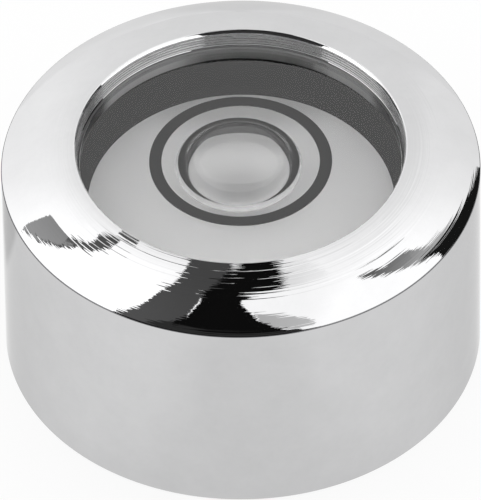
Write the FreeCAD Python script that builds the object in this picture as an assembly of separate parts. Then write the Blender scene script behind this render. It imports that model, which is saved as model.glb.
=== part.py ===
import FreeCAD, Part
import math
import os

# Bullseye level: a turned, chrome plated body with a sealed round vial seated in its top.
# Millimetres, +Z up. The origin is the centre of the flat underside.

# Turned body
body_radius = 15.0
side_height = 14.6
rim_width = 4.75
rim_rise = 1.85
rim_bulge = 0.27
lip_width = 0.11
lip_drop = 0.24
foot_break = 0.15
shoulder_width = 2.35

# Window: flat on top, ground concave underneath
window_recess = 1.36
window_edge_thickness = 1.65
window_bevel = 0.12
window_ground_radius = 230.0

# Black target circle let into the window's top face
ring_margin = 0.98
ring_width = 0.8
ring_depth = 0.12

# Seal and cement that close the vial
seal_thickness = 0.3
cement_width = 0.15
cement_dip = 0.08

# Cup, pale disc and liquid
cup_wall_thickness = 0.5
cup_floor_thickness = 1.4
liquid_depth = 4.75
disc_thickness = 0.4
cup_corner_chamfer = 0.3

# Bubble pocket: three tangent arcs turned about an axis beside the middle of the window
bubble_radius = 3.96
bubble_belly_radius = 1.9
bubble_shoulder_radius = 1.3
bubble_bottom_turn = 25.0
bubble_contact_turn = 75.0
bubble_aside = -0.12
bubble_away = 1.35

# Filling hole, its slotted plug and the washer
plug_shank_radius = 1.5
plug_head_lip = 1.1
plug_head_height = 1.4
plug_slot_width = 0.6
plug_slot_depth = 0.7
plug_chamfer = 0.2
washer_margin = 0.3
washer_thickness = 0.4

# Cover pressed in the underside
cover_ledge = 1.0
cover_thickness = 1.2
cover_inset = 0.2
cover_chamfer = 0.25

# Clearances
seat_gap = 0.02
slip_gap = 0.05
hole_gap = 0.1

# Heights, from the lip down
lip_height = side_height + rim_rise
glass_top = lip_height - window_recess
glass_bottom = glass_top - window_edge_thickness
cup_top = glass_bottom - seal_thickness
liquid_bottom = glass_bottom - liquid_depth
disc_bottom = liquid_bottom - disc_thickness
shoulder_height = disc_bottom - cup_floor_thickness
washer_bottom = shoulder_height - washer_thickness
cover_top = cover_inset + cover_thickness

# Radii, from the outside in
vial_bore_radius = body_radius - rim_width
window_radius = vial_bore_radius - cement_width
cup_radius = vial_bore_radius - slip_gap
chamber_radius = cup_radius - cup_wall_thickness
liquid_radius = chamber_radius - seat_gap
disc_radius = chamber_radius - slip_gap
service_bore_radius = vial_bore_radius - shoulder_width
cover_radius = service_bore_radius + cover_ledge
ring_inner_radius = bubble_radius + ring_margin
ring_outer_radius = ring_inner_radius + ring_width
plug_head_radius = plug_shank_radius + plug_head_lip
washer_radius = plug_head_radius + washer_margin

axis_start = FreeCAD.Vector(0, 0, 0)
axis_way = FreeCAD.Vector(0, 0, 1)


def at(radius, height):
    return FreeCAD.Vector(radius, 0, height)


def straight(*points):
    return [Part.LineSegment(start, end).toShape() for start, end in zip(points, points[1:])]


def arc(start, middle, end):
    return [Part.Arc(start, middle, end).toShape()]


def turned(edges):
    # A closed half profile, turned once round the upright axis
    face = Part.Face(Part.Wire(edges))
    return face.revolve(axis_start, axis_way, 360)


def tube(inner_radius, outer_radius, bottom, top):
    return turned(straight(
        at(inner_radius, bottom),
        at(outer_radius, bottom),
        at(outer_radius, top),
        at(inner_radius, top),
        at(inner_radius, bottom),
    ))


def ground_height(radius, edge_radius):
    # Height of a spherical hollow over its edge, at one radius
    middle = math.sqrt(window_ground_radius ** 2 - edge_radius ** 2)
    return math.sqrt(window_ground_radius ** 2 - radius ** 2) - middle


def ground_arc(edge_radius, edge_height):
    # Half section of the window's hollow underside, from its edge to its middle
    half_way = edge_radius / 2
    return arc(
        at(edge_radius, edge_height),
        at(half_way, edge_height + ground_height(half_way, edge_radius)),
        at(0, edge_height + ground_height(0, edge_radius)),
    )


def make_housing():
    # The rim is an arc from the lip to the side, standing proud of its chord by rim_bulge
    lip_radius = vial_bore_radius + lip_width
    rim_run = body_radius - lip_radius
    chord = math.hypot(rim_run, rim_rise)
    rim_middle = at(
        lip_radius + rim_run / 2 + rim_bulge * rim_rise / chord,
        side_height + rim_rise / 2 + rim_bulge * rim_run / chord,
    )
    cover_recess_radius = cover_radius + seat_gap
    edges = straight(
        at(body_radius, side_height),
        at(body_radius, foot_break),
        at(body_radius - foot_break, 0),
        at(cover_recess_radius, 0),
        at(cover_recess_radius, cover_top),
        at(service_bore_radius, cover_top),
        at(service_bore_radius, shoulder_height),
        at(vial_bore_radius, shoulder_height),
        at(vial_bore_radius, lip_height - lip_drop),
        at(lip_radius, lip_height),
    )
    edges += arc(at(lip_radius, lip_height), rim_middle, at(body_radius, side_height))
    return turned(edges)


def make_window():
    edges = straight(
        at(0, glass_top),
        at(window_radius - window_bevel, glass_top),
        at(window_radius, glass_top - window_bevel),
        at(window_radius, glass_bottom),
        at(chamber_radius, glass_bottom),
    )
    edges += ground_arc(chamber_radius, glass_bottom)
    edges += straight(at(0, glass_bottom + ground_height(0, chamber_radius)), at(0, glass_top))
    groove = tube(ring_inner_radius, ring_outer_radius, glass_top - ring_depth, glass_top + ring_depth)
    return turned(edges).cut(groove)


def make_target_ring():
    inner = ring_inner_radius + seat_gap
    outer = ring_outer_radius - seat_gap
    return tube(inner, outer, glass_top - ring_depth, glass_top)


def make_cement_ring():
    # Fills the gap round the window and dips between the glass and the bore
    inner = window_radius + seat_gap
    outer = vial_bore_radius - seat_gap
    rim = glass_top - window_bevel
    return turned(straight(
        at(inner, cup_top),
        at(outer, cup_top),
        at(outer, rim),
        at((inner + outer) / 2, rim - cement_dip),
        at(inner, rim),
        at(inner, cup_top),
    ))


def make_window_seal():
    return tube(chamber_radius, window_radius, cup_top, glass_bottom)


def make_vial_cup():
    hole_radius = plug_shank_radius + hole_gap
    return turned(straight(
        at(hole_radius, shoulder_height),
        at(cup_radius - cup_corner_chamfer, shoulder_height),
        at(cup_radius, shoulder_height + cup_corner_chamfer),
        at(cup_radius, cup_top),
        at(chamber_radius, cup_top),
        at(chamber_radius, disc_bottom),
        at(hole_radius, disc_bottom),
        at(hole_radius, shoulder_height),
    ))


def make_reflector_disc():
    return Part.makeCylinder(disc_radius, disc_thickness, at(0, disc_bottom))


def make_bubble(top):
    # Arcs in turn: shallow bottom, belly, shoulder. The shoulder ends on the underside of the glass
    bottom_turn = math.radians(bubble_bottom_turn)
    contact_turn = math.radians(bubble_contact_turn)
    belly_centre = bubble_radius - bubble_belly_radius
    shoulder_centre = bubble_radius - bubble_shoulder_radius
    bottom_edge = belly_centre + bubble_belly_radius * math.sin(bottom_turn)
    bottom_radius = bottom_edge / math.sin(bottom_turn)
    widest = top - bubble_shoulder_radius * math.sin(contact_turn)
    bottom_rim = widest - bubble_belly_radius * math.cos(bottom_turn)
    lowest = bottom_rim - bottom_radius * (1 - math.cos(bottom_turn))
    contact_radius = shoulder_centre + bubble_shoulder_radius * math.cos(contact_turn)
    half_bottom = bottom_turn / 2
    half_belly = (math.pi / 2 + bottom_turn) / 2
    half_contact = contact_turn / 2
    bottom_middle = at(
        bottom_radius * math.sin(half_bottom),
        lowest + bottom_radius * (1 - math.cos(half_bottom)),
    )
    belly_middle = at(
        belly_centre + bubble_belly_radius * math.sin(half_belly),
        widest - bubble_belly_radius * math.cos(half_belly),
    )
    shoulder_middle = at(
        shoulder_centre + bubble_shoulder_radius * math.cos(half_contact),
        widest + bubble_shoulder_radius * math.sin(half_contact),
    )
    above = top + window_edge_thickness / 2
    edges = arc(at(0, lowest), bottom_middle, at(bottom_edge, bottom_rim))
    edges += arc(at(bottom_edge, bottom_rim), belly_middle, at(bubble_radius, widest))
    edges += arc(at(bubble_radius, widest), shoulder_middle, at(contact_radius, top))
    edges += straight(at(contact_radius, top), at(contact_radius, above), at(0, above), at(0, lowest))
    bubble = turned(edges)
    bubble.translate(FreeCAD.Vector(bubble_aside, bubble_away, 0))
    return bubble


def make_vial_liquid():
    liquid_rim = glass_bottom - seat_gap
    liquid_middle = liquid_rim + ground_height(0, liquid_radius)
    edges = straight(
        at(0, liquid_middle),
        at(0, liquid_bottom),
        at(liquid_radius, liquid_bottom),
        at(liquid_radius, liquid_rim),
    )
    edges += ground_arc(liquid_radius, liquid_rim)
    return turned(edges).cut(make_bubble(liquid_middle))


def make_filler_plug():
    head_top = washer_bottom
    head_bottom = head_top - plug_head_height
    shank_top = disc_bottom - seat_gap
    edges = straight(
        at(0, head_bottom),
        at(plug_head_radius - plug_chamfer, head_bottom),
        at(plug_head_radius, head_bottom + plug_chamfer),
        at(plug_head_radius, head_top),
        at(plug_shank_radius, head_top),
        at(plug_shank_radius, shank_top - plug_chamfer),
        at(plug_shank_radius - plug_chamfer, shank_top),
        at(0, shank_top),
        at(0, head_bottom),
    )
    slot_length = 2 * (plug_head_radius + slip_gap)
    slot_corner = FreeCAD.Vector(-slot_length / 2, -plug_slot_width / 2, head_bottom - slip_gap)
    slot = Part.makeBox(slot_length, plug_slot_width, plug_slot_depth + slip_gap, slot_corner)
    return turned(edges).cut(slot)


def make_plug_washer():
    return tube(plug_shank_radius + seat_gap, washer_radius, washer_bottom, shoulder_height)


def make_base_cover():
    return turned(straight(
        at(0, cover_inset),
        at(cover_radius - cover_chamfer, cover_inset),
        at(cover_radius, cover_inset + cover_chamfer),
        at(cover_radius, cover_top),
        at(0, cover_top),
        at(0, cover_inset),
    ))


makers = {
    "housing": make_housing,
    "window": make_window,
    "target_ring": make_target_ring,
    "cement_ring": make_cement_ring,
    "window_seal": make_window_seal,
    "vial_cup": make_vial_cup,
    "reflector_disc": make_reflector_disc,
    "vial_liquid": make_vial_liquid,
    "filler_plug": make_filler_plug,
    "plug_washer": make_plug_washer,
    "base_cover": make_base_cover,
}

os.makedirs("parts", exist_ok=True)
for name, make in makers.items():
    shape = make()
    shape.exportStep(f"parts/{name}.step")
    print(name, "solids", len(shape.Solids), "volume", round(shape.Volume, 2), "valid", shape.isValid())
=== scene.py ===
import math

import bpy
import numpy as np
from mathutils import Matrix, Vector


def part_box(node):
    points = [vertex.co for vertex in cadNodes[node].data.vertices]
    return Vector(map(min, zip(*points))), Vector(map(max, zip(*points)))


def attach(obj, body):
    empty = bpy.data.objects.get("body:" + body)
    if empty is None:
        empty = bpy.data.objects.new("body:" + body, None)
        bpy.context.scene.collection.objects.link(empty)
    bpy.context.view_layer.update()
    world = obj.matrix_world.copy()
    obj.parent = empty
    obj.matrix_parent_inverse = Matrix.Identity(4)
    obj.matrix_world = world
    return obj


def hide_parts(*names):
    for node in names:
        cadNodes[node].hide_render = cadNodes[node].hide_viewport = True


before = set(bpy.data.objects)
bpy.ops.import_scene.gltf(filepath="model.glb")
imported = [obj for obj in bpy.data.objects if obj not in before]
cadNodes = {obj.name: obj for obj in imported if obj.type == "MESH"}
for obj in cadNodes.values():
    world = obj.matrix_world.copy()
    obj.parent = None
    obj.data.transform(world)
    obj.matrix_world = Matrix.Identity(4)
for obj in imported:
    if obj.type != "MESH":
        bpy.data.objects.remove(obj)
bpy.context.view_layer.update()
mm = 0.001  # the level's sizes below are in millimetres, and the meshes and the studio's sizes in metres
print("frame loaded:", len(cadNodes), "nodes")


def topOf(node):
    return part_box(node)[1].z / mm


def bottomOf(node):
    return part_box(node)[0].z / mm


def radiusOf(node):
    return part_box(node)[1].x / mm


# what the CAD says, read back from its boxes
bodyRadius = radiusOf("housing")
lipHeight = topOf("housing")
glassTop = topOf("window")
glassBottom = bottomOf("window")
windowRadius = radiusOf("window")
cupTop = topOf("vial_cup")
cupBottom = bottomOf("vial_cup")
liquidBottom = bottomOf("vial_liquid")
ringOuter = radiusOf("target_ring")
coverTop = topOf("base_cover")

# the CAD's clearances round the cup and the cover
clearance = {"cup": 0.05, "cover": 0.02}
boreRadius = radiusOf("vial_cup") + clearance["cup"]
recessRadius = radiusOf("base_cover") + clearance["cover"]


# mesh helpers
sharpAngle = 30  # in degrees: faces that meet at more than this keep a sharp edge


def arcPoints(centre, radii, start, end, count):
    # x = cx + rx cos t, y = cy + ry sin t, t from start to end in degrees
    turn = np.radians(np.linspace(start, end, count))
    return np.stack([centre[0] + radii[0] * np.cos(turn), centre[1] + radii[1] * np.sin(turn)], 1)


def linePoints(start, end, count):
    # p = start + (end - start) t, without its last point
    step = np.linspace(0, 1, count, endpoint=False)[:, None]
    return np.array(start) + (np.array(end) - np.array(start)) * step


def turned(profile, segments, centre=(0, 0), firstPoint=0, firstRow=0):
    # x = cx + r cos t, y = cy + r sin t, z = h: the half profile (r, h) carried once round the upright axis
    # a profile that starts away from the axis is a loop, and one that starts on it ends on it in two poles
    # the points are numbered from firstPoint, and the rows of faces from firstRow
    onAxis = profile[0, 0] == 0
    rows = profile[1:-1] if onAxis else profile
    turn = np.linspace(0, 2 * np.pi, segments, endpoint=False)
    x = centre[0] + rows[:, :1] * np.cos(turn)
    y = centre[1] + rows[:, :1] * np.sin(turn)
    z = np.repeat(rows[:, 1:], segments, axis=1)
    points = np.stack([x, y, z], -1).reshape(-1, 3)
    count = len(rows)
    row, column = np.meshgrid(np.arange(count - 1 if onAxis else count), np.arange(segments), indexing="ij")
    nextRow, nextColumn = (row + 1) % count, (column + 1) % segments
    quads = np.stack([
        row * segments + column,
        row * segments + nextColumn,
        nextRow * segments + nextColumn,
        nextRow * segments + column,
    ], -1).reshape(-1, 4)
    faces = (firstPoint + quads).tolist()
    rowOfFace = row.reshape(-1)
    if onAxis:
        firstPole, lastPole = len(points), len(points) + 1
        points = np.concatenate([points, np.array([(*centre, profile[0, 1]), (*centre, profile[-1, 1])])])
        around = np.arange(segments)
        onward = (around + 1) % segments
        lastRing = (count - 1) * segments
        firstFan = np.stack([np.full(segments, firstPole), onward, around], 1)
        lastFan = np.stack([np.full(segments, lastPole), lastRing + around, lastRing + onward], 1)
        faces += (firstPoint + firstFan).tolist() + (firstPoint + lastFan).tolist()
        rowOfFace = np.concatenate([rowOfFace, np.zeros(segments), np.full(segments, count - 1)])
    return points, faces, firstRow + rowOfFace


def joined(first, second):
    # two closed shells in one mesh: the second one's numbers go on from the first one's
    return np.concatenate([first[0], second[0]]), first[1] + second[1], np.concatenate([first[2], second[2]])


def addObject(name, data):
    thing = bpy.data.objects.new(name, data)
    bpy.context.scene.collection.objects.link(thing)
    return thing


def addPiece(name, shape, materials, slotOfRow=None):
    points, faces, rowOfFace = shape
    mesh = bpy.data.meshes.new(name)
    mesh.from_pydata(points * mm, [], faces)
    for material in materials:
        mesh.materials.append(material)
    if slotOfRow is not None:
        mesh.polygons.foreach_set("material_index", slotOfRow(rowOfFace).astype(np.int32))
    mesh.shade_smooth()
    mesh.set_sharp_from_angle(angle=math.radians(sharpAngle))
    mesh.update()
    return addObject(name, mesh)


def settle(piece, node):
    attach(piece, "root")
    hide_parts(node)


# shader helpers
def addNode(tree, kind, inputs=None, **settings):
    # each input takes another node's output or a fixed value
    node = tree.nodes.new(kind)
    for name, value in settings.items():
        setattr(node, name, value)
    for name, value in (inputs or {}).items():
        if isinstance(value, bpy.types.NodeSocket):
            tree.links.new(value, node.inputs[name])
        else:
            node.inputs[name].default_value = value
    return node


def addMath(tree, operation, first, second=0.0):
    return addNode(tree, "ShaderNodeMath", {0: first, 1: second}, operation=operation).outputs[0]


def addProduct(tree, first, *others):
    for other in others:
        first = addMath(tree, "MULTIPLY", first, other)
    return first


def addScale(tree, vector, scale):
    return addNode(tree, "ShaderNodeVectorMath", {0: vector, "Scale": scale}, operation="SCALE").outputs[0]


def addMix(tree, factor, first, second, kind="FLOAT"):
    # first (1 - factor) + second factor
    mix = addNode(tree, "ShaderNodeMix", {"Factor": factor, "A": first, "B": second}, data_type=kind)
    return mix.outputs["Result"]


def addBlend(tree, source, edges, low=0.0, high=1.0, smooth=True):
    # low before the first edge, high after the second, eased in between or straight
    blend = addNode(tree, "ShaderNodeMapRange", {
        "Value": source,
        "From Min": edges[0],
        "From Max": edges[1],
        "To Min": low,
        "To Max": high,
    }, interpolation_type="SMOOTHSTEP" if smooth else "LINEAR")
    return blend.outputs["Result"]


def addAxes(tree):
    # the place on the piece in metres: to the right, to the back, up
    place = addNode(tree, "ShaderNodeTexCoord").outputs["Object"]
    return addNode(tree, "ShaderNodeSeparateXYZ", {0: place}).outputs


def inMetres(sizes):
    return [size * mm for size in sizes]


def grey(level):
    return (level, level, level, 1)


def newMaterial(name, values):
    material = bpy.data.materials.new(name)
    material.use_nodes = True
    shader = material.node_tree.nodes["Principled BSDF"]
    for socket, value in values.items():
        shader.inputs[socket].default_value = value
    return material, material.node_tree, shader


def bareMaterial(name):
    material = bpy.data.materials.new(name)
    material.use_nodes = True
    material.node_tree.nodes.clear()
    return material, material.node_tree


# node groups for what more than one finish has
def newGroup(name, inputs, outputs):
    group = bpy.data.node_groups.new(name, "ShaderNodeTree")
    for socket, value in inputs.items():
        entry = group.interface.new_socket(socket, in_out="INPUT", socket_type="NodeSocketFloat")
        entry.default_value = value
    for socket in outputs:
        group.interface.new_socket(socket, in_out="OUTPUT", socket_type="NodeSocketFloat")
    return group, addNode(group, "NodeGroupInput").outputs


def turningLinesGroup():
    # height = noise(drift x / r, drift y / r, lines (r - z)): rings that the tool left, fading along the turn
    # radius = r in millimetres, aside = x / r, ahead = -y / r
    group, given = newGroup("turningLines", {"Lines per mm": 4.0, "Drift": 1.5, "Detail": 2.0},
                            ("Height", "Radius", "Aside", "Ahead"))
    place = addNode(group, "ShaderNodeTexCoord").outputs["Object"]
    x, y, z = addNode(group, "ShaderNodeSeparateXYZ", {0: addScale(group, place, 1 / mm)}).outputs
    flat = addNode(group, "ShaderNodeCombineXYZ", {0: x, 1: y}).outputs[0]
    radius = addNode(group, "ShaderNodeVectorMath", {0: flat}, operation="LENGTH").outputs["Value"]
    around = addNode(group, "ShaderNodeVectorMath", {0: flat}, operation="NORMALIZE").outputs[0]
    count = addMath(group, "MULTIPLY", addMath(group, "SUBTRACT", radius, z), given["Lines per mm"])
    drift = addScale(group, around, given["Drift"])
    upright = addNode(group, "ShaderNodeCombineXYZ", {2: count}).outputs[0]
    spot = addNode(group, "ShaderNodeVectorMath", {0: drift, 1: upright}, operation="ADD").outputs[0]
    noise = addNode(group, "ShaderNodeTexNoise",
                    {"Vector": spot, "Scale": 1.0, "Detail": given["Detail"], "Roughness": 0.55})
    sides = addNode(group, "ShaderNodeSeparateXYZ", {0: around}).outputs
    addNode(group, "NodeGroupOutput", {
        "Height": noise.outputs["Fac"],
        "Radius": radius,
        "Aside": sides[0],
        "Ahead": addMath(group, "MULTIPLY", sides[1], -1.0),
    })
    return group


def fineGrainGroup():
    # value = low to high with a fine noise over the piece
    group, given = newGroup("fineGrain", {"Scale": 900.0, "Low": 0.95, "High": 1.05}, ("Value",))
    place = addNode(group, "ShaderNodeTexCoord").outputs["Object"]
    noise = addNode(group, "ShaderNodeTexNoise",
                    {"Vector": place, "Scale": given["Scale"], "Detail": 4.0, "Roughness": 0.7})
    noiseEdges = (0.3, 0.7)
    value = addBlend(group, noise.outputs["Fac"], noiseEdges, given["Low"], given["High"], smooth=False)
    addNode(group, "NodeGroupOutput", {"Value": value})
    return group


turningLines = turningLinesGroup()
fineGrain = fineGrainGroup()


def addLines(tree, linesPerMm, drift, detail):
    return addNode(tree, "ShaderNodeGroup", {"Lines per mm": linesPerMm, "Drift": drift, "Detail": detail},
                   node_tree=turningLines).outputs


def addGrain(tree, scale, low, high):
    return addNode(tree, "ShaderNodeGroup", {"Scale": scale, "Low": low, "High": high},
                   node_tree=fineGrain).outputs["Value"]


def addBump(tree, shader, height, distance):
    bump = addNode(tree, "ShaderNodeBump", {"Height": height, "Distance": distance, "Strength": 1.0})
    tree.links.new(bump.outputs["Normal"], shader.inputs["Normal"])


# chrome: depths, rises and radii are in millimetres, sides and fades are x or -y as a share of the radius
chromeFinish = {
    "tint": (0.60, 0.60, 0.605, 1),
    "rimGrazing": grey(0.82),
    # the side's grazing tint is lower than the rim's: painted shade on the side's reflection
    "sideShadeGrazing": grey(0.78),
    # the bore's lighter tint is a painted highlight, and its darker sides are painted shade
    "boreTint": (0.75, 0.75, 0.755, 1),
    "boreSideTint": (0.42, 0.42, 0.425, 1),
    "boreSide": (0.82, 0.93),
    "rimPastBore": (0.02, 0.1),
    "roughness": 0.02,
    "mottle": 0.05,
    "mottleScale": 350.0,
    "linesPerMm": 6.0,
    "lineDrift": 1.2,
    "lineDetail": 1.5,
    "outerLineDepth": 0.003,
    "innerLineDepth": 0.005,
    "rightLineDepth": 0.012,
    "innerZone": (12.6, 12.75),
    "rightSide": (-0.15, 0.05),
    "toolSteps": {
        11.03: 0.0055,
        11.5: 0.004,
        11.63: -0.004,
        11.87: 0.005,
        12.25: 0.004,
        12.48: -0.004,
        12.72: -0.004,
        12.9: 0.003,
    },
    "stepWidth": 0.06,
    "stepFade": (0.5, 0.65),
    # the rounded edge between side and rim is a much darker chrome: painted shade on that edge
    "edgeShadeTint": (0.16, 0.16, 0.165, 1),
    "edgeShadeGrazing": grey(0.3),
    "edgeRoughness": 0.1,
}


def makeChrome(name, grazingTint):
    # line height = noise times a depth that is largest on the inner zone's right, plus one small step in
    # front where each pass of the tool ended
    # tint = the bore's, lighter than the rim's as a painted highlight and darker at its sides as painted
    # shade, then the rim's outside it, times a faint mottle
    finish = chromeFinish
    material, tree, shader = newMaterial(name, {
        "Metallic": 1.0,
        "Roughness": finish["roughness"],
        "Specular Tint": grazingTint,
    })
    lines = addLines(tree, finish["linesPerMm"], finish["lineDrift"], finish["lineDetail"])
    radius, aside = lines["Radius"], lines["Aside"]
    sideways = addBlend(tree, aside, finish["rightSide"], finish["innerLineDepth"], finish["rightLineDepth"])
    inner = addBlend(tree, radius, finish["innerZone"], 1.0, 0.0)
    extra = addMath(tree, "MULTIPLY", inner, addMath(tree, "SUBTRACT", sideways, finish["outerLineDepth"]))
    depth = addMath(tree, "ADD", extra, finish["outerLineDepth"])
    steps = 0.0
    half = finish["stepWidth"] / 2
    for place, rise in finish["toolSteps"].items():
        steps = addMath(tree, "ADD", addBlend(tree, radius, (place - half, place + half), 0.0, rise), steps)
    inFront = addBlend(tree, lines["Ahead"], finish["stepFade"])
    height = addMath(tree, "ADD", addMath(tree, "MULTIPLY", depth, lines["Height"]),
                     addMath(tree, "MULTIPLY", steps, inFront))
    addBump(tree, shader, height, mm)
    beside = addBlend(tree, addMath(tree, "ABSOLUTE", aside), finish["boreSide"])
    bore = addMix(tree, beside, finish["boreTint"], finish["boreSideTint"], "RGBA")
    rim = addBlend(tree, radius, [boreRadius + past for past in finish["rimPastBore"]])
    tint = addMix(tree, rim, bore, finish["tint"], "RGBA")
    tone = addGrain(tree, finish["mottleScale"], 1 - finish["mottle"] / 2, 1 + finish["mottle"] / 2)
    tree.links.new(addScale(tree, tint, tone), shader.inputs["Base Color"])
    return material


def makeShadedChromeEdge():
    # a darker copy of the chrome for the rounded edge: painted shade
    return newMaterial("shadedChromeEdge", {
        "Base Color": chromeFinish["edgeShadeTint"],
        "Metallic": 1.0,
        "Roughness": chromeFinish["edgeRoughness"],
        "Specular Tint": chromeFinish["edgeShadeGrazing"],
    })[0]


# glass and liquid
glassFinish = {"tint": grey(0.99), "ior": 1.5, "liquidIor": 1.4}


def makeClear(name, ior):
    return newMaterial(name, {
        "Base Color": glassFinish["tint"],
        "Roughness": 0.0,
        "IOR": ior,
        "Transmission Weight": 1.0,
    })[0]


def makeUnseen(name):
    # lets light straight through: where glass and liquid touch, one face bends the light for both
    material, tree = bareMaterial(name)
    through = addNode(tree, "ShaderNodeBsdfTransparent", {"Color": grey(1)})
    addNode(tree, "ShaderNodeOutputMaterial", {"Surface": through.outputs[0]})
    return material


# plain finishes: lineDepth in millimetres
solidFinishes = {
    "blackInlay": {"colour": (0.03, 0.03, 0.03), "roughness": 0.35},
    "blackCup": {"colour": (0.006, 0.006, 0.006), "roughness": 0.3, "ior": 1.0, "grain": 0.3},
    "sealRubber": {"colour": (0.008, 0.008, 0.008), "roughness": 0.7, "ior": 1.0, "grain": 0.4,
                   "scale": 1500.0},
    "plugBrass": {"colour": (0.72, 0.52, 0.26), "roughness": 0.28, "metallic": 1.0, "grain": 0.14,
                  "lineDepth": 0.006, "linesPerMm": 6.0},
    "coverAluminium": {"colour": (0.66, 0.66, 0.67), "roughness": 0.3, "metallic": 1.0,
                       "lineDepth": 0.01, "linesPerMm": 7.0},
}
solidLines = {"drift": 0.8, "detail": 2.0}


def makeSolid(name, colour, roughness, metallic=0.0, ior=1.45, grain=0.1, scale=900.0, lineDepth=0.0,
              linesPerMm=0.0):
    # colour = its level times 1 + grain (noise - 1/2), roughness = its level times 1 + grain (2 noise - 1)
    # turned pieces have rings too
    material, tree, shader = newMaterial(name, {"Metallic": metallic, "IOR": ior})
    tone = addGrain(tree, scale, 1 - grain / 2, 1 + grain / 2)
    tree.links.new(addScale(tree, colour, tone), shader.inputs["Base Color"])
    gloss = addGrain(tree, scale / 2, roughness * (1 - grain), roughness * (1 + grain))
    tree.links.new(gloss, shader.inputs["Roughness"])
    if lineDepth:
        lines = addLines(tree, linesPerMm, **solidLines)
        addBump(tree, shader, lines["Height"], lineDepth * mm)
    return material


# the cement and the ground edge of the glass: the lower greys, left, middle and right low on the edge,
# differ by painted light and shade
seatFinishes = {
    "darkCement": {"roughness": 0.5, "lowerLightAndShade": (0.24, 0.2, 0.24), "upper": 0.24, "sideShadeShare": 0.42},
    "groundEdge": {"roughness": 0.6, "lowerLightAndShade": (0.43, 0.19, 0.33), "upper": 0.25, "sideShadeShare": 0.1},
}
seatEdges = {"left": (-5.0, -2.2), "right": (4.5, 4.9), "underTop": (0.7, 0.5), "beside": (8.0, 8.8)}


def makeSeatFinish(name, roughness, lowerLightAndShade, upper, sideShadeShare):
    # grey = upper over the top part of the glass edge, and the lower left, middle and right value below that,
    # which differ by painted light and shade; far to either side both are multiplied by a share for painted
    # shade
    material, tree, shader = newMaterial(name, {"Roughness": roughness})
    axes = addAxes(tree)
    across, height = axes[0], axes[2]
    left, middle, right = lowerLightAndShade
    rightRise = addBlend(tree, across, inMetres(seatEdges["right"]), middle, right)
    leftRise = addBlend(tree, across, inMetres(seatEdges["left"]), left - middle, 0.0)
    high = addBlend(tree, height, inMetres([glassTop - depth for depth in seatEdges["underTop"]]))
    level = addMix(tree, high, addMath(tree, "ADD", rightRise, leftRise), upper)
    beside = addBlend(tree, addMath(tree, "ABSOLUTE", across), inMetres(seatEdges["beside"]), 1.0, sideShadeShare)
    tree.links.new(addMath(tree, "MULTIPLY", level, beside), shader.inputs["Base Color"])
    return material


# pale disc: starts and ends run from front to back, and sides outwards from the middle
discFinish = {
    # front to back, and both shades, are painted shade and shadow on the disc
    "front": 0.77,
    "back": 0.64,
    "shadeRun": (-6.0, 8.0),
    "bubbleShade": 0.13,
    "bubbleShadeStart": (-2.4, 0.3),
    "bubbleShadeEnd": (2.1, 2.8),
    "bubbleShadeSide": (0.8, 2.6),
    "backShade": 0.3,
    "backShadeStart": (5.5, 8.2),
    "backShadeSide": (3.0, 7.0),
    "roughness": 0.9,
}


def makePaleDisc():
    # grey = a straight run that darkens to the back as painted shade, less a painted shadow where the bubble
    # shades the disc and another painted shade before the cup's wall at the back
    finish = discFinish
    material, tree, shader = newMaterial("paleDisc", {"Roughness": finish["roughness"]})
    axes = addAxes(tree)
    aside, away = addMath(tree, "ABSOLUTE", axes[0]), axes[1]
    shadeRun = addBlend(tree, away, inMetres(finish["shadeRun"]), finish["front"], finish["back"], smooth=False)
    bubbleShade = addProduct(
        tree,
        addBlend(tree, away, inMetres(finish["bubbleShadeStart"])),
        addBlend(tree, away, inMetres(finish["bubbleShadeEnd"]), 1.0, 0.0),
        addBlend(tree, aside, inMetres(finish["bubbleShadeSide"]), finish["bubbleShade"], 0.0),
    )
    backShade = addProduct(
        tree,
        addBlend(tree, away, inMetres(finish["backShadeStart"])),
        addBlend(tree, aside, inMetres(finish["backShadeSide"]), finish["backShade"], 0.0),
    )
    unshaded = addMath(tree, "SUBTRACT", 1.0, addMath(tree, "ADD", bubbleShade, backShade))
    tree.links.new(addMath(tree, "MULTIPLY", shadeRun, unshaded), shader.inputs["Base Color"])
    return material


chromePlating = makeChrome("chromePlating", chromeFinish["rimGrazing"])
# the side is the same chrome with a dimmer grazing tint: painted shade
shadedChromeSide = makeChrome("shadedChromeSide", chromeFinish["sideShadeGrazing"])
shadedChromeEdge = makeShadedChromeEdge()
clearGlass = makeClear("clearGlass", glassFinish["ior"])
glassToLiquid = makeClear("glassToLiquid", glassFinish["ior"] / glassFinish["liquidIor"])
clearLiquid = makeClear("clearLiquid", glassFinish["liquidIor"])
liquidToGlass = makeUnseen("liquidToGlass")
paleDisc = makePaleDisc()
solids = {name: makeSolid(name, **finish) for name, finish in solidFinishes.items()}
seats = {name: makeSeatFinish(name, **finish) for name, finish in seatFinishes.items()}
print("materials made")


# housing: one turned body with a through hole, its profile walked from the foot up the side and back
# down inside; rimSlopes gives the rim's slope in degrees at a few radii
housing = {
    "rimRise": 1.85,
    "rimSlopes": {10.55: 8.5, 11.0: 12.0, 11.1: 12.5, 12.6: 20.5, 13.0: 24.0, 15.0: 34.9},
    "lipWidth": 0.13,
    "lipDrop": 0.225,
    "lipRound": 0.06,
    "edgeRound": 0.11,
    "edgeDrop": 0.9,  # share of edgeRound by which the centre of its arc lies under the side's top
    "footBreak": 0.15,
    "shoulderWidth": 2.35,
    "grooves": 4,
    "groovePitch": 0.21,
    "grooveDepth": 0.025,
    "beadWidth": 0.022,
    "beadHeight": 0.13,
    "beadSlope": 50.0,
    "beadUnder": 0.03,
    "plainBoreUnderGlass": 0.1,
    "points": {"foot": 3, "side": 12, "edge": 6, "rim": 110, "lip": 7, "lipFoot": 5, "groove": 10, "bore": 4,
               "recess": 2, "underside": 6},
    "segments": 432,
}


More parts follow.
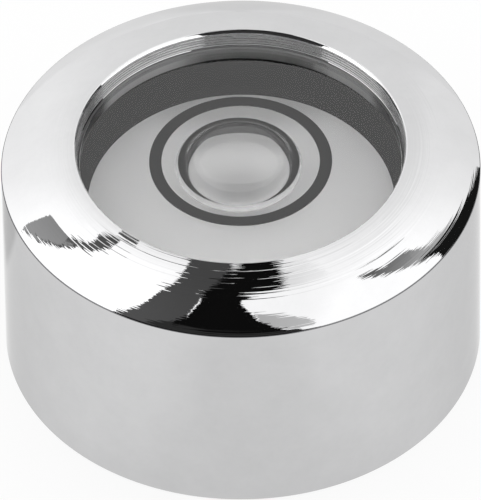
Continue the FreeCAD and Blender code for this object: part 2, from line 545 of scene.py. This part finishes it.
def rimPoints(inner, outer, high, low):
    # h = high - integral of tan(slope) dr, then stretched a little so that it ends at low
    radius = np.linspace(inner, outer, housing["points"]["rim"])
    radii, slopes = zip(*housing["rimSlopes"].items())
    slope = np.tan(np.radians(np.interp(radius, radii, slopes)))
    fall = np.concatenate([[0], np.cumsum((slope[1:] + slope[:-1]) / 2)])
    height = high - (high - low) * fall / fall[-1]
    return np.stack([radius, height], 1)[::-1]


def groovePoints(radius, top):
    # r = radius + depth (1 - cos(2 pi h / pitch)) / 2 over the grooved stretch
    reach = housing["grooves"] * housing["groovePitch"]
    down = np.linspace(0, reach, housing["grooves"] * housing["points"]["groove"] + 1)
    out = radius + housing["grooveDepth"] * (1 - np.cos(2 * np.pi * down / housing["groovePitch"])) / 2
    return np.stack([out, top - down], 1)


def beadPoints(radius, foot):
    # a small bead just above the glass: a slope inwards, straight down and back out under it
    width, height = housing["beadWidth"], housing["beadHeight"]
    rise = width * math.tan(math.radians(housing["beadSlope"]))
    return np.array([
        (radius, foot + height + rise),
        (radius - width, foot + height),
        (radius - width, foot),
        (radius, foot - housing["beadUnder"]),
    ])


def roundedCorner(start, corner, end, reach, count):
    # p = (1 - t)^2 a + 2 t (1 - t) c + t^2 b, where a and b lie on the two legs, one reach from the corner c
    start, corner, end = np.array(start), np.array(corner), np.array(end)
    before = corner + (start - corner) / np.linalg.norm(start - corner) * reach
    after = corner + (end - corner) / np.linalg.norm(end - corner) * reach
    t = np.linspace(0, 1, count)[:, None]
    return (1 - t) ** 2 * before + 2 * t * (1 - t) * corner + t ** 2 * after


def makeHousing():
    # the profile in turn: foot, side, rounded edge, rim, rounded lip, grooves, bead, bore, shoulder, service
    # bore, recess of the cover and underside
    points = housing["points"]
    edge, reach, footBreak = housing["edgeRound"], housing["lipRound"], housing["footBreak"]
    lipFoot = (boreRadius, lipHeight - housing["lipDrop"])
    lipTop = (boreRadius + housing["lipWidth"], lipHeight)
    sideHeight = lipHeight - housing["rimRise"]
    serviceRadius = boreRadius - housing["shoulderWidth"]
    edgeCentre = (bodyRadius - edge, sideHeight - edge * housing["edgeDrop"])
    lastSlope = list(housing["rimSlopes"].values())[-1]
    edgeArc = arcPoints(edgeCentre, (edge, edge), 0, 90 - lastSlope, points["edge"])
    rim = rimPoints(lipTop[0], edgeArc[-1, 0], lipHeight, edgeArc[-1, 1])
    boreStart = (boreRadius, glassTop - housing["plainBoreUnderGlass"])
    foot = linePoints((bodyRadius - footBreak, 0), (bodyRadius, footBreak), points["foot"])
    side = linePoints((bodyRadius, footBreak), (bodyRadius, edgeCentre[1]), points["side"])
    profile = np.concatenate([
        foot,
        side,
        edgeArc[:-1],
        rim[rim[:, 0] > lipTop[0] + reach],
        roundedCorner(rim[-2], lipTop, lipFoot, reach, points["lip"]),
        roundedCorner(lipTop, lipFoot, (boreRadius, 0), reach, points["lipFoot"]),
        groovePoints(boreRadius, lipFoot[1] - reach)[1:],
        beadPoints(boreRadius, glassTop),
        linePoints(boreStart, (boreRadius, cupBottom), points["bore"]),
        linePoints((boreRadius, cupBottom), (serviceRadius, cupBottom), points["recess"]),
        linePoints((serviceRadius, cupBottom), (serviceRadius, coverTop), points["recess"]),
        linePoints((serviceRadius, coverTop), (recessRadius, coverTop), points["recess"]),
        linePoints((recessRadius, coverTop), (recessRadius, 0), points["recess"]),
        linePoints((recessRadius, 0), (bodyRadius - footBreak, 0), points["underside"]),
    ])
    firstEdge = len(foot) + len(side)
    lastEdge = firstEdge + len(edgeArc) - 2
    shape = turned(profile, housing["segments"])
    piece = addPiece("housingTurned", shape, [chromePlating, shadedChromeEdge, shadedChromeSide],
                     lambda rows: np.where(rows > lastEdge, 0, np.where(rows < firstEdge, 2, 1)))
    settle(piece, "housing")


makeHousing()
print("housing turned")


# window: flat top with the ring's groove, small bevel, and an underside ground hollow
window = {
    "bevel": 0.03,
    "groundRadius": 230.0,
    "hollowPoints": 24,
    "landWidth": 0.4,
    "ringWidth": 0.765,
    "ringDepth": 0.12,
    "cementDip": 0.06,
    "hairGap": 0.004,
    "segments": 256,
}
ringInner = ringOuter - window["ringWidth"]
chamberRadius = windowRadius - window["landWidth"]


def hollowHeight(radius):
    # h = sqrt(R^2 - r^2) - sqrt(R^2 - a^2): the ground hollow over its edge a
    ground = window["groundRadius"]
    return np.sqrt(ground ** 2 - radius ** 2) - math.sqrt(ground ** 2 - chamberRadius ** 2)


def makeWindow():
    # the profile in turn: hollow underside, land, edge, bevel, groove of the ring, top
    hair, bevel = window["hairGap"], window["bevel"]
    hollow = np.linspace(0, chamberRadius, window["hollowPoints"])
    under = np.stack([hollow, glassBottom - hair + hollowHeight(hollow)], 1)
    rest = np.array([
        (windowRadius, glassBottom - hair),
        (windowRadius, glassTop - bevel),
        (windowRadius - bevel, glassTop),
        (ringOuter - hair, glassTop),
        (ringOuter - hair, glassTop - window["ringDepth"] + hair),
        (ringInner + hair, glassTop - window["ringDepth"] + hair),
        (ringInner + hair, glassTop),
        (0, glassTop),
    ])
    shape = turned(np.concatenate([under, rest]), window["segments"])
    piece = addPiece("windowGlass", shape, [clearGlass, glassToLiquid], lambda rows: rows < len(under) - 1)
    settle(piece, "window")


def makeTargetRing():
    # an upright rectangle carried round, its top flush with the glass
    floor = glassTop - window["ringDepth"]
    profile = np.array([(ringInner, floor), (ringOuter, floor), (ringOuter, glassTop), (ringInner, glassTop)])
    piece = addPiece("targetRing", turned(profile, window["segments"]), [solids["blackInlay"]])
    settle(piece, "target_ring")


def makeCement():
    # fills the gap between glass and bore and dips in its middle; its inner face is the glass's ground edge
    hair, top = window["hairGap"], glassTop - window["bevel"]
    inner, outer = windowRadius - hair, boreRadius + hair
    dip = ((inner + outer) / 2, top - window["cementDip"])
    profile = np.array([(inner, cupTop), (outer, cupTop), (outer, top), dip, (inner, top)])
    shape = turned(profile, window["segments"])
    piece = addPiece("cementRing", shape, [seats["darkCement"], seats["groundEdge"]],
                     lambda rows: rows == len(profile) - 1)
    settle(piece, "cement_ring")


makeWindow()
makeTargetRing()
makeCement()
print("window, ring and cement made")


# liquid with the bubble as a closed hollow just under its top
bubble = {
    "radius": 3.98,
    "belly": 2.2,
    "shoulder": 1.8,
    "shoulderWidth": 1.6,
    "film": 0.004,
    "aside": -0.115,
    "away": 1.42,
    "points": {"top": 12, "shoulder": 40, "belly": 70},
    "segments": 256,
}


def bubbleProfile(top):
    # the flat top, an ellipse quadrant out to the widest circle, then a deeper one down to the lowest point
    points = bubble["points"]
    contact = bubble["radius"] - bubble["shoulderWidth"]
    widest = top - bubble["shoulder"]
    shoulderRadii = (bubble["shoulderWidth"], bubble["shoulder"])
    bellyRadii = (bubble["radius"], bubble["belly"])
    flat = linePoints((0, top), (contact, top), points["top"])
    shoulder = arcPoints((contact, widest), shoulderRadii, 90, 0, points["shoulder"])
    belly = arcPoints((0, widest), bellyRadii, 0, -90, points["belly"])
    belly[-1, 0] = 0
    return np.concatenate([flat, shoulder[:-1], belly])


def makeLiquid():
    # the outside is walked from the bottom up and the bubble from the top down, so all faces point out of
    # the liquid
    hair, segments = window["hairGap"], bubble["segments"]
    reach = np.linspace(chamberRadius + hair, 0, window["hollowPoints"])
    top = glassBottom + hair + hollowHeight(np.minimum(reach, chamberRadius))
    outside = np.concatenate([
        np.array([(0, liquidBottom - hair), (chamberRadius + hair, liquidBottom - hair)]),
        np.stack([reach, top], 1),
    ])
    body = turned(outside, segments)
    roof = glassBottom + hollowHeight(math.hypot(bubble["aside"], bubble["away"])) - bubble["film"]
    hollow = turned(bubbleProfile(roof), segments, (bubble["aside"], bubble["away"]),
                    firstPoint=len(body[0]), firstRow=len(outside))
    piece = addPiece("vialLiquid", joined(body, hollow), [clearLiquid, liquidToGlass],
                     lambda rows: (rows >= 1) & (rows < len(outside)))
    settle(piece, "vial_liquid")


makeLiquid()
print("liquid and bubble made")


# CAD nodes that keep their own mesh
for node, material in {
    "vial_cup": solids["blackCup"],
    "reflector_disc": paleDisc,
    "window_seal": solids["sealRubber"],
    "filler_plug": solids["plugBrass"],
    "plug_washer": solids["sealRubber"],
    "base_cover": solids["coverAluminium"],
}.items():
    mesh = cadNodes[node].data
    mesh.materials.clear()
    mesh.materials.append(material)


# flags and cards over the level, the farthest first, which only mirrored rays see: levels at the left and
# the right edge, and corners in degrees from straight up (to the right, to the back)
cardSpacing = {"farthest": 3.0, "step": 0.06}
cards = {
    "windowSky": {"levels": (1.55, 1.55), "corners": [(-6, 40), (6, 40), (6, 51), (-6, 51)]},
    "frontApron": {"levels": (0.04, 0.04), "corners": [
        (-34, -11), (-24, -14), (-12, -18), (0, -22), (12, -21.5), (15, -22), (24, -26), (28, -36),
        (28, -60), (28, -85), (0, -91), (-36, -83.5), (-66, -62), (-58, -38)]},
    "greyFlag": {"levels": (0.135, 0.085), "corners": [
        (-4.5, 28.5), (-7, 20.5), (-10, 12.5), (-13, 7), (-17, 1), (-21, -4), (-25.5, -8.5),
        (-33.5, -12.5), (-34, -14.5), (-20, -21.5), (-18.5, -17.5), (-14, -13.5), (-10, -5.5), (-7, 3),
        (-4.5, 8.5), (-3, 15), (-2, 20), (-1, 24), (-1, 28), (-0.5, 38), (-9, 37), (-8.5, 32.5), (-5, 30)]},
    "blackFlag": {"levels": (0.006, 0.006), "corners": [
        (-0.5, 34), (3, 34), (3, 29.5), (4, 22), (5, 19.5), (6, 15.5), (8, 7), (2, 0.5), (0, -2.5),
        (-0.5, -5.5), (1.5, -11), (4, -16.5), (8.5, -20.5), (13.5, -22), (12, -23), (0, -24), (-18, -21),
        (-19, -17.5), (-13.5, -13), (-9.5, -5.5), (-7.5, 3), (-5, 8.5), (-3, 15), (-2, 20), (-1, 22),
        (-0.5, 24.5)]},
    "leftEdge": {"levels": (0.14, 0.14), "corners": [
        (-37, 29.5), (-33, 19.5), (-34.5, 17.5), (-40.5, 18), (-48, 21), (-52.5, 28)]},
    "leftCard": {"levels": (0.5, 0.38), "corners": [
        (-37, 29.5), (-34, 20.5), (-35, 18.5), (-40.5, 19), (-48, 22), (-52, 28), (-50.5, 29), (-44, 29)]},
    "leftStrip": {"levels": (0.16, 0.1), "corners": [
        (-37, 20.5), (-33, 18.5), (-28.5, 17), (-24.5, 19), (-22, 20.5), (-19.5, 22), (-16, 25.5),
        (-15, 26.5), (-16, 27.5), (-19.5, 27), (-21, 25.5), (-23, 23), (-26.5, 21.5), (-29.5, 21.5),
        (-34, 22.5)]},
    "leftBlob": {"levels": (0.14, 0.1), "corners": [
        (-10.5, 33), (-9, 31.5), (-11.5, 27.5), (-13, 28), (-13, 30.5)]},
    "rightCard": {"levels": (0.15, 0.75), "corners": [
        (29.5, 5.5), (31.5, 8), (34, 12), (36.5, 14.5), (40, 15.5), (43, 17.5), (46, 23.5), (50, 31.5),
        (49, 20), (45.5, 10.5), (40, 7), (33, 4)]},
    "rightTip": {"levels": (0.1, 0.4), "corners": [
        (24.5, 4), (28, 7), (31, 8), (33.5, 12), (36.5, 14), (39, 11), (36.5, 6), (33, 4), (29.5, 3.5)]},
    "rightFlag": {"levels": (0.012, 0.012), "corners": [
        (43, 9.5), (46.5, 17.5), (49.5, 30.5), (51.5, 42.5), (52, 53), (62, 60), (76, 44), (74, 22),
        (53, 12), (50, 15), (47, 13)]},
    "lipFlag": {"levels": (0.012, 0.012), "corners": [(66, 7), (66, 36), (90, 36), (96, 5)]},
    "frontCard": {"levels": (0.66, 0.8), "corners": [
        (2.5, -12), (7.5, -13), (13, -14.5), (19.5, -17.5), (19, -19.5), (14.5, -21.5), (8.5, -20.5),
        (4.5, -17)]},
    "softEdge": {"levels": (1.1, 1.45), "corners": [
        (5, 19), (8, 20.5), (12, 16), (16, 9), (12, 4.5), (7.5, 6), (6.5, 12)]},
}


def makeCard(name, distance, levels, corners):
    # direction = (sin t p / t, sin t q / t, cos t) for the corner (p, q), t degrees from straight up
    # level = straight run from the left edge to the right edge
    corner = np.array(corners, float)
    tilt = np.hypot(corner[:, 0], corner[:, 1])
    flat = corner / tilt[:, None] * np.sin(np.radians(tilt))[:, None]
    points = np.concatenate([flat, np.cos(np.radians(tilt))[:, None]], 1) * distance
    mesh = bpy.data.meshes.new(name)
    mesh.from_pydata(points, [], [list(range(len(points)))])
    material, tree = bareMaterial(name)
    edges = (points[:, 0].min(), points[:, 0].max())
    level = addBlend(tree, addAxes(tree)[0], edges, *levels, smooth=False)
    light = addNode(tree, "ShaderNodeEmission", {"Color": grey(1), "Strength": level})
    addNode(tree, "ShaderNodeOutputMaterial", {"Surface": light.outputs[0]})
    mesh.materials.append(material)
    card = addObject(name, mesh)
    card.visible_camera = card.visible_diffuse = card.visible_transmission = card.visible_shadow = False


# floor: its size is in metres, edges and places are in millimetres
floorLook = {
    "size": 3.0,
    "colour": 0.86,
    "ownLight": 0.85,
    "bands": (1.04, 0.93, 1.02),
    "bandEdges": (4.0, 14.0),
    "leftShade": 0.74,
    "leftShadeLeft": (-30.0, -22.0),
    "leftShadeRight": (-18.5, -16.5),
    "leftShadeStart": (5.0, 6.5),
    "leftShadeEnd": (9.0, 15.0),
    "farLevels": (1.22, 1.13),
    "farLevelEdges": (-45.0, -5.0),
    "farStart": (30.0, 45.0),
}


def makeFloor():
    # seen by the camera, mirrored or through glass it is mostly its own white light, and for other rays it is
    # plain pale grey
    # mirrored level = left, middle and right band, times a shade to the left, times a lighter far part
    look = floorLook
    half = look["size"] / 2
    corners = [(-half, -half, 0), (half, -half, 0), (half, half, 0), (-half, half, 0)]
    mesh = bpy.data.meshes.new("floor")
    mesh.from_pydata(corners, [], [list(range(len(corners)))])
    material, tree = bareMaterial("paleFloor")
    axes = addAxes(tree)
    across, away = axes[0], axes[1]
    (left, middle, right), (near, far) = look["bands"], look["bandEdges"]
    leftBand = addBlend(tree, across, inMetres((-far, -near)), left, middle)
    rightBand = addBlend(tree, across, inMetres((near, far)), 0.0, right - middle)
    beside = addMath(tree, "MULTIPLY",
                     addBlend(tree, across, inMetres(look["leftShadeRight"]), 1 - look["leftShade"], 0.0),
                     addBlend(tree, across, inMetres(look["leftShadeLeft"])))
    nearBy = addMath(tree, "MULTIPLY",
                     addBlend(tree, away, inMetres(look["leftShadeStart"])),
                     addBlend(tree, away, inMetres(look["leftShadeEnd"]), 1.0, 0.0))
    shade = addMath(tree, "SUBTRACT", 1.0, addMath(tree, "MULTIPLY", beside, nearBy))
    farLevel = addBlend(tree, across, inMetres(look["farLevelEdges"]), *look["farLevels"])
    farPart = addMix(tree, addBlend(tree, away, inMetres(look["farStart"])), 1.0, farLevel)
    mirrored = addProduct(tree, addMath(tree, "ADD", leftBand, rightBand), shade, farPart)
    rays = addNode(tree, "ShaderNodeLightPath").outputs
    white = addNode(tree, "ShaderNodeEmission", {
        "Color": grey(1),
        "Strength": addMix(tree, rays["Is Glossy Ray"], 1.0, mirrored),
    })
    lit = addNode(tree, "ShaderNodeBsdfDiffuse", {"Color": grey(look["colour"])})
    seen = addMath(tree, "MAXIMUM", rays["Is Camera Ray"], rays["Is Glossy Ray"])
    seen = addMath(tree, "MAXIMUM", seen, rays["Is Transmission Ray"])
    share = addMath(tree, "MULTIPLY", seen, look["ownLight"])
    surface = addNode(tree, "ShaderNodeMixShader", {0: share, 1: lit.outputs[0], 2: white.outputs[0]})
    addNode(tree, "ShaderNodeOutputMaterial", {"Surface": surface.outputs[0]})
    mesh.materials.append(material)
    floor = addObject("floor", mesh)


# light all round: edges are shares of a ray's direction, to the back or to the right
dome = {
    "frontLight": 1.52,
    "backLight": 1.1,
    "backEdges": (0.2, 0.8),
    "leftLight": 1.24,
    "leftEdges": (-0.5, 0.0),
    "rightLight": 1.09,
    "rightEdges": (0.28, 0.42),
    "diffuseLight": 1.15,
    "glassLight": 1.62,
}


def makeWorld():
    # camera rays see white and diffuse rays an even dome
    # mirrored rays see one that dims towards the back and is lighter at its sides, and rays through glass
    # see the same one times glassLight
    world = bpy.data.worlds.new("studio")
    bpy.context.scene.world = world
    world.use_nodes = True
    tree = world.node_tree
    tree.nodes.clear()
    way = addNode(tree, "ShaderNodeTexCoord").outputs["Generated"]
    axes = addNode(tree, "ShaderNodeSeparateXYZ", {0: way}).outputs
    lengthways = addBlend(tree, axes[1], dome["backEdges"], dome["frontLight"], dome["backLight"])
    leftward = addBlend(tree, axes[0], dome["leftEdges"], dome["leftLight"], 1.0)
    rightward = addBlend(tree, axes[0], dome["rightEdges"], 1.0, dome["rightLight"])
    mirrored = addProduct(tree, leftward, rightward, lengthways)
    rays = addNode(tree, "ShaderNodeLightPath").outputs
    outside = addMix(tree, rays["Is Diffuse Ray"], mirrored, dome["diffuseLight"])
    inGlass = addMix(tree, rays["Is Transmission Ray"], 1.0, dome["glassLight"])
    lamp = addMath(tree, "MULTIPLY", outside, inGlass)
    level = addMix(tree, rays["Is Camera Ray"], lamp, 1.0)
    light = addNode(tree, "ShaderNodeBackground", {"Color": grey(1), "Strength": level})
    addNode(tree, "ShaderNodeOutputWorld", {"Surface": light.outputs[0]})


for order, (cardName, card) in enumerate(cards.items()):
    makeCard(cardName, cardSpacing["farthest"] - cardSpacing["step"] * order, **card)
makeFloor()
makeWorld()
print("studio set")


# camera: fitted to the photo, with the middle of the side's top edge as its target
# angles are in degrees, distance and clip in metres, and sensor in millimetres
camera = {
    "elevation": 44.6,
    "roll": 0.8,
    "distance": 0.869,
    "focalPixels": 13893.0,
    "targetPixel": (240.7, 166.3),
    "frame": (481, 500),
    "sensor": 36.0,
    "clip": (0.05, 20),
}


def makeCamera():
    # place = target + back times distance; it looks along -back, turned so that target falls on targetPixel
    tilt = math.radians(camera["elevation"])
    target = Vector((0, 0, (lipHeight - housing["rimRise"]) * mm))
    back = Vector((0, -math.cos(tilt), math.sin(tilt)))
    right = Vector((1, 0, 0))
    turn = Matrix((right, back.cross(right), back)).transposed()
    width, height = camera["frame"]
    across = (camera["targetPixel"][0] - width / 2) / camera["focalPixels"]
    down = (camera["targetPixel"][1] - height / 2) / camera["focalPixels"]
    aim = Matrix.Rotation(math.atan(across), 3, "Y") @ Matrix.Rotation(math.atan(down), 3, "X")
    roll = Matrix.Rotation(math.radians(-camera["roll"]), 3, "Z")
    data = bpy.data.cameras.new("camera")
    data.sensor_width = camera["sensor"]
    data.lens = camera["focalPixels"] / max(camera["frame"]) * camera["sensor"]
    data.clip_start, data.clip_end = camera["clip"]
    shot = addObject("camera", data)
    shot.matrix_world = Matrix.Translation(target + back * camera["distance"]) @ (turn @ roll @ aim).to_4x4()
    bpy.context.scene.camera = shot


makeCamera()
bpy.context.scene.view_settings.view_transform = "Standard"
print("camera set")
